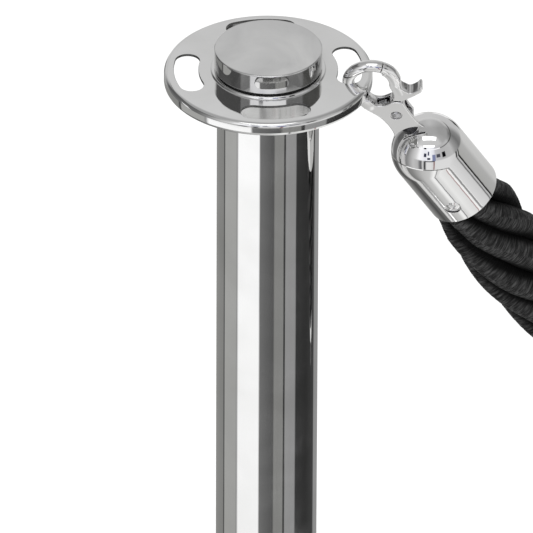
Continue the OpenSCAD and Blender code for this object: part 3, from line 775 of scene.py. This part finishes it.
def hooks():
    d = hook_pieces()
    rows = (("", NEAR, "near_hook", "near_gate", "rope_line", "rope_line", "rope_end_cap", "cap_screws"),
            ("far_", FAR, "far_hook", "far_gate", "rope_line", "rope_line", "far_end_cap", "far_cap_screws"))
    out = {}
    for pre, mat4, hb, gb, sb, cb, capn, scn in rows:
        v, f, n = d["body"]; out[pre + "body"] = new_object(pre + "hook_casting", v, f, "chrome", hb, pre + "hook_body", n, mat4)
        v, f, n = d["gate"]; out[pre + "gate"] = new_object(pre + "gate_casting", v, f, "chrome", gb, pre + "hook_gate", n, mat4)
        out[pre + "pin"] = pin(pre + "rivet", hb, mat4, pre + "gate_pin")
        out[pre + "spring"] = coil(pre + "gate_coil", -4.9, -0.55, 7.6, 1.35, 0.3, 6.5, mat4, pre + "gate_spring")
        out[pre + "stud"] = swivel(pre + "swivel_post", sb, mat4, pre + "swivel_stud")
        out[pre + "cap"] = end_cap(pre + "rope_ferrule", cb, mat4, capn)
        out[pre + "screws"] = screws(pre + "ferrule_screws", cb, mat4, scn, d["screw"])
    return out

PARTS = hooks()

# ------------------------------------------------------------------ rope

ROUTE = [(86, 14, 886), (97.5, 20.5, 866), (103, 24, 856), (107, 26, 849.5), (117, 32, 833), (126.5, 38, 816.5),
    (137, 44, 800.5), (147, 50.5, 784.5), (157.5, 56.5, 769), (168.5, 63, 753), (179.5, 70, 738), (190.5, 76.5, 723),
    (202, 83.5, 708), (214, 90.5, 693.5), (222, 95.5, 684), (226, 98, 679.5), (232.5, 101.5, 672), (247, 110.5, 655)]
ROPE_R = [17, 17, 17.6, 19.2, 19.8, 20, 20, 20, 20, 20, 20, 20, 20, 19.8, 19.2, 17.6, 17, 17]
STRANDS, PITCH, HAND, PHASE = 6, 220.0, -1, 0.75
SWELL = [17, 17.1, 18.8, 20.8, 21.8, 22.3, 22.3, 22.3, 22.3, 22.3, 22.3, 22.3, 22.3, 21.8, 20.8, 18.8, 17.1, 17]

def fine_route(step):
    P = np.array(ROUTE, float); s = np.r_[0, np.cumsum(np.linalg.norm(np.diff(P, axis=0), axis=1))]
    t = np.linspace(0, s[-1], int(s[-1] / step) + 1)
    Q = np.stack([np.interp(t, s, P[:, k]) for k in range(3)], 1)
    w = int(8 / step); ker = np.hanning(2 * w + 1); ker /= ker.sum()
    for k in range(3):
        pad = np.r_[2 * Q[0, k] - Q[w:0:-1, k], Q[:, k], 2 * Q[-1, k] - Q[-2:-w - 2:-1, k]]
        Q[:, k] = np.convolve(pad, ker, "valid")
    R = np.interp(t, s, ROPE_R)
    return Q, R, t

def rope_piece():
    step = 0.34
    C, R, t = fine_route(step)
    # the laid rope stands proud of its nominal size and sags a little between the caps
    s = np.r_[0, np.cumsum(np.linalg.norm(np.diff(np.array(ROUTE, float), axis=0), axis=1))]
    R = np.interp(t, s, SWELL)
    sag = 2.6 * np.clip(np.minimum((t - 24) / 50, (s[-1] - 24 - t) / 50), 0, 1)
    w = np.hanning(2 * int(10 / step) + 1)
    sag = np.convolve(np.pad(sag, len(w) // 2, "edge"), w / w.sum(), "valid")
    C = C + sag[:, None] * np.array([-0.62, 0.0, -0.78])
    n = len(C)
    T = np.gradient(C, axis=0); T /= np.linalg.norm(T, axis=1)[:, None]
    U = np.zeros_like(T); u = np.cross(T[0], [0, 0, 1.0]); u /= np.linalg.norm(u); U[0] = u
    for i in range(1, n):
        u = U[i - 1] - (U[i - 1] @ T[i]) * T[i]; U[i] = u / np.linalg.norm(u)
    W = np.cross(T, U)
    S = 56
    rng = np.random.default_rng(7)
    V, F, UVs = [], [], []
    ratio = 1 / (1 + 1 / math.sin(math.pi / STRANDS))
    for k in range(STRANDS):
        rs = R * (ratio + 0.022); ro = R - rs * 1.0
        ph = 2 * math.pi * (k / STRANDS) + HAND * 2 * math.pi * t / PITCH + PHASE
        ph = ph + 0.05 * np.sin(t / 17.0 + k * 1.7)
        D = np.cos(ph)[:, None] * U + np.sin(ph)[:, None] * W
        cen = C + ro[:, None] * D
        tt = np.gradient(cen, axis=0); ln = np.linalg.norm(tt, axis=1); tt /= ln[:, None]
        side = np.cross(tt, D); side /= np.linalg.norm(side, axis=1)[:, None]
        out = np.cross(side, tt)
        arc_s = np.r_[0, np.cumsum(np.linalg.norm(np.diff(cen, axis=0), axis=1))]
        th = np.arange(S) * 2 * math.pi / S
        # yarns wound round the strand: low ridges, a little uneven
        m = int(arc_s[-1] / 0.3) + 4
        r1 = np.interp(arc_s, np.arange(m) * 0.3, np.convolve(rng.normal(size=m + 4), np.ones(5) / 5, "valid"))
        rad = np.empty((n, S))
        for j, a in enumerate(th):
            lean = 0.9 * a
            ridge = 0.16 * np.sin(2 * math.pi * (arc_s + lean * 0.8) / 1.15) + 0.13 * np.interp(arc_s + lean, arc_s, r1)
            rad[:, j] = rs * (1 + 0.02 * math.cos(2 * a)) - 0.25 + ridge * 0.8
        flat = np.clip(np.cos(th), -1, 1)
        P = cen[:, None] + rad[..., None] * (np.cos(th)[None, :, None] * out[:, None] + np.sin(th)[None, :, None] * side[:, None] * 1.0)
        b = len(V) * n * S
        i = np.arange(n - 1)[:, None]; j = np.arange(S)[None]
        F.append((np.stack([i * S + j, (i + 1) * S + j, (i + 1) * S + (j + 1) % S, i * S + (j + 1) % S], -1).reshape(-1, 4)) + b)
        V.append(P.reshape(-1, 3))
        J, I = np.meshgrid(np.arange(S), np.arange(n - 1))
        cu = np.stack([arc_s[I], arc_s[I + 1], arc_s[I + 1], arc_s[I]], -1)
        cv = np.stack([J, J, J + 1, J + 1], -1) * (2 * math.pi / S * 9)
        UVs.append(np.stack([cu, cv], -1).reshape(-1, 2) * MM)
    caps = []
    for k in range(STRANDS):
        b = k * n * S
        caps.append([b + j for j in range(S)]); caps.append([b + (n - 1) * S + j for j in range(S)][::-1])
    V = np.vstack(V); F = np.vstack(F); UV = np.vstack(UVs)
    bm_faces = [list(map(int, q)) for q in F] + caps
    o = new_object("twisted_rope", V, bm_faces, "rope", "rope_line", "rope")
    me = o.data
    uvl = me.uv_layers.new(name="strand")
    rest = np.zeros((len(me.loops) - len(UV), 2))
    uvl.data.foreach_set("uv", np.vstack([UV, rest]).astype(np.float32).ravel())
    me.flip_normals()
    return o

rope_piece()

# ------------------------------------------------------------------ head and post

SEG = 256
PZ = 950.0

def ring_plate():
    """Pressed plate: flat web with four kidney slots, raised seat in the middle, lip turned down outside."""
    r, t, z = 51.7, 1.3, PZ
    f = 0.16
    def kidney(k, off, n=20):
        a0, a1 = 5.5 + 90 * k - 16, 5.5 + 90 * k + 16
        w = 6.1 + off
        pts = arc(0, 0, 40.7 + w, a0, a1, 28)
        ca = (40.7 * math.cos(math.radians(a1)), 40.7 * math.sin(math.radians(a1)))
        pts += arc(ca[0], ca[1], w, a1, a1 + 180, n)[1:-1]
        pts += arc(0, 0, 40.7 - w, a1, a0, 28)
        cb = (40.7 * math.cos(math.radians(a0)), 40.7 * math.sin(math.radians(a0)))
        pts += arc(cb[0], cb[1], w, a0 + 180, a0 + 360, n)[1:-1]
        return pts
    bm = bmesh.new()
    ang = [2 * math.pi * i / SEG for i in range(SEG)]
    def circle(rad, zz):
        return [bm.verts.new((rad * math.cos(a), rad * math.sin(a), zz)) for a in ang]
    def bridge(a, b, flip=False):
        for i in range(len(a)):
            k = (i + 1) % len(a)
            q = [a[i], a[k], b[k], b[i]]
            bm.faces.new(q[::-1] if flip else q)
    lipz = z - 6.6
    # outer side from the flat top, over the edge, down the lip and back under
    top_r = r - 2.2
    outer = [(r - 2.2 + 2.2 * math.sin(math.radians(a)), z - 2.2 + 2.2 * math.cos(math.radians(a))) for a in (0, 7.5, 15, 22.5, 30, 37.5, 45, 52.5, 60, 67.5, 75, 82.5, 90)]
    outer += [(r, z - 4.6)] + [(r - .5 + .5 * math.cos(math.radians(a)), lipz + .5 - .5 * math.sin(math.radians(a))) for a in (0, 30, 60, 90)]
    outer += [(r - t + .5 - .5 * math.sin(math.radians(a)), lipz + .5 - .5 * math.cos(math.radians(a))) for a in (0, 30, 60, 90)]
    outer += [(r - t, z - t - 1.6)] + [(r - t - 1.4 + 1.4 * math.cos(math.radians(a)), z - t - 1.4 + 1.4 * math.sin(math.radians(a))) for a in (0, 22, 45, 68, 90)]
    rings = [circle(a, b) for a, b in outer]
    for a, b in zip(rings, rings[1:]): bridge(a, b, True)
    inner = [(28.8, z), (28.6, z + .06), (28.45, z + .3), (28.35, z + .7), (28.2, z + .94), (28.0, z + 1), (4.6, z + 1), (4.3, z + .8), (4.3, z + 1.2 - t),
             (4.6, z + 1 - t), (27.0, z + 1 - t), (27.6, z - t + .7), (28.2, z - t + .2), (28.8, z - t)]
    ir = [circle(a, b) for a, b in inner]
    for a, b in zip(ir, ir[1:]): bridge(a, b)
    fl = [(f, z), (f * .62, z - f * .08), (f * .29, z - f * .29), (f * .08, z - f * .62), (0, z - f), (0, z - t + f), (f * .08, z - t + f * .62),
          (f * .29, z - t + f * .29), (f * .62, z - t + f * .08), (f, z - t)]
    tops, bots = [], []
    for k in range(4):
        loops = [[bm.verts.new((x, y, zz)) for x, y in kidney(k, off)] for off, zz in fl]
        n0 = len(bm.faces)
        for a, b in zip(loops, loops[1:]): bridge(a, b, False)
        bm.faces.ensure_lookup_table()
        for q in bm.faces[n0:]: q.material_index = 1
        tops.append(loops[0]); bots.append(loops[-1])
    # short socket under the plate that the top of the post stands in
    n0 = len(bm.faces)
    sock = [circle(a, b) for a, b in [(25.55, z - 13.7), (25.85, z - 14), (27.1, z - 14), (27.4, z - 13.7), (27.4, z - .9), (27.1, z - .6), (25.85, z - .6), (25.55, z - .9)]]
    for a, b in zip(sock, sock[1:] + sock[:1]): bridge(a, b)
    bm.faces.ensure_lookup_table()
    own = bm.faces[n0:]
    for q in own: q.material_index = 2
    bmesh.ops.recalc_face_normals(bm, faces=own)
    def web(outer_loop, inner_loop, holes, up):
        from mathutils.geometry import delaunay_2d_cdt
        pts, src, edges = [], [], []
        for loop in [outer_loop, inner_loop] + holes:
            b = len(pts)
            for v in loop: pts.append(Vector((v.co.x, v.co.y))); src.append(v)
            edges += [(b + i, b + (i + 1) % len(loop)) for i in range(len(loop))]
        _, _, faces, ov, _, _ = delaunay_2d_cdt(pts, edges, [], 0, 1e-7)
        ks = [[(v.co.x, v.co.y) for v in h] for h in holes]
        for tri in faces:
            vs = [src[ov[i][0]] for i in tri]
            c = sum((v.co for v in vs), Vector()) / 3
            rr = math.hypot(c.x, c.y)
            if rr > top_r + 1e-3 and up or rr < inner_loop[0].co.xy.length * math.cos(math.pi / SEG) - 1e-4: continue
            if any(inside(c.x, c.y, h) for h in ks): continue
            nz = (vs[1].co - vs[0].co).cross(vs[2].co - vs[0].co).z
            if abs(nz) < 1e-9: continue
            try: bm.faces.new(vs if (nz > 0) == up else vs[::-1])
            except ValueError: pass
    def inside(x, y, poly):
        s = False
        for i in range(len(poly)):
            (x1, y1), (x2, y2) = poly[i - 1], poly[i]
            if (y1 > y) != (y2 > y) and x < (x2 - x1) * (y - y1) / (y2 - y1) + x1: s = not s
        return s
    web(rings[0], ir[0], tops, True)
    web(rings[-1], ir[-1], bots, False)
    me = bpy.data.meshes.new("slotted_plate")
    for v in bm.verts: v.co *= MM
    bm.normal_update(); bm.to_mesh(me); bm.free()
    me.polygons.foreach_set("use_smooth", [True] * len(me.polygons))
    me.materials.append(M["polished"]); me.materials.append(M["cut"]); me.materials.append(M["satin"])
    o = bpy.data.objects.new("slotted_plate", me); scene.collection.objects.link(o)
    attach(o, "stanchion"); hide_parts("ring_plate")
    return weighted(o)

def lathe_piece(name, pts, rads, mat, node, n=6, seg=None):
    v, f = lathe(fillet(pts, rads, n), seg or SEG)
    return weighted(new_object(name, v, f, mat, "stanchion", node))

ring_plate()
# cap: a thick polished disc
prof = [(0, 953 - .6 + 0.0)]
CZ = PZ + 1 + .75
prof = [(0, CZ), (26.1, CZ)] + arc(26.2, CZ + .6, .6, -90, 0, 6) + arc(26.1, PZ + 12.3 - .7, .7, 0, 90, 10) + [(25.8, PZ + 12.3), (12, PZ + 12.3), (0, PZ + 12.3)]
v, f = lathe_open(prof, SEG)
weighted(new_object("cap_disc", v, f, "cap", "stanchion", "top_cap"))
lathe_piece("cap_washer", [(4.5, PZ + 1), (26.0, PZ + 1), (26.0, PZ + 1.74), (4.5, PZ + 1.74)], .25, "rubber", "cap_gasket", 3)
lathe_piece("post", [(23.8, 34), (25.4, 34), (25.4, 300), (25.4, 620), (25.4, 949), (23.8, 949), (23.8, 500)], [.3, .3, 0, 0, .3, .3, 0], "polished", "post_tube", 4)

def base_pieces():
    R = 160.0
    cover = [(R - 1.2, 3), (R, 3), (R, 12)] + arc(R - 10, 12, 10, 0, 72, 14)[1:]
    top = [(R - 10 + 10 * math.cos(math.radians(72)), 12 + 10 * math.sin(math.radians(72))), (128, 25.6), (96, 30.2), (60, 34.4), (34, 37.4), (26, 38)]
    def smooth(pts, n=8):
        P = np.array(pts, float); out = []
        for i in range(len(P) - 1):
            p0, p1, p2, p3 = P[max(i - 1, 0)], P[i], P[i + 1], P[min(i + 2, len(P) - 1)]
            for k in range(n):
                u = k / n
                out.append(tuple(0.5 * ((2 * p1) + (p2 - p0) * u + (2 * p0 - 5 * p1 + 4 * p2 - p3) * u * u + (3 * p1 - p0 - 3 * p2 + p3) * u ** 3)))
        return out + [tuple(P[-1])]
    up = smooth(top)
    under = [(r, z - 1.2) for r, z in up[::-1]]
    cover += up[1:] + under[:-1] + arc(R - 10, 12, 8.8, 72, 0, 14)
    v, f = lathe(cover, SEG)
    weighted(new_object("base_dome", v, f, "polished", "stanchion", "base_cover"))
    col = [(25.5, 38.1), (41, 38.1)] + arc(39, 39.9, 2, 0, 60, 6) + smooth([(39 + 2 * math.cos(math.radians(60)), 39.9 + 2 * math.sin(math.radians(60))), (35, 43.2), (31.5, 45.6), (29.6, 48.6), (28.9, 52), (28.6, 55)], 6)[1:]
    col += arc(27.6, 55.4, 1, 0, 90, 6) + [(25.5, 56.4)]
    v, f = lathe(fillet(col, [.2, .3] + [0] * (len(col) - 3) + [.25], 3), SEG)
    weighted(new_object("flange_cover", v, f, "polished", "stanchion", "base_collar"))
    ring = [(138, 0), (157, 0), (158.2, 1), (158.2, 2.6), (157.8, 2.8), (157.8, 7), (154, 7), (154, 4), (138, 4)]
    lathe_piece("floor_pad", ring, [.5, .6, .4, .1, .1, .4, .3, .2, .5], "rubber", "floor_ring", 4)

base_pieces()

SLOTS = {"base_weight": "iron", "tie_bolt": "zinc", "base_washer": "zinc", "bottom_plug": "zinc", "top_plug": "zinc", "cap_stud": "zinc",
         "swivel_nut": "zinc", "far_swivel_nut": "zinc"}
for name, mat in SLOTS.items():
    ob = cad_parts[name]
    ob.data.materials.clear(); ob.data.materials.append(M[mat])
    weighted(ob)
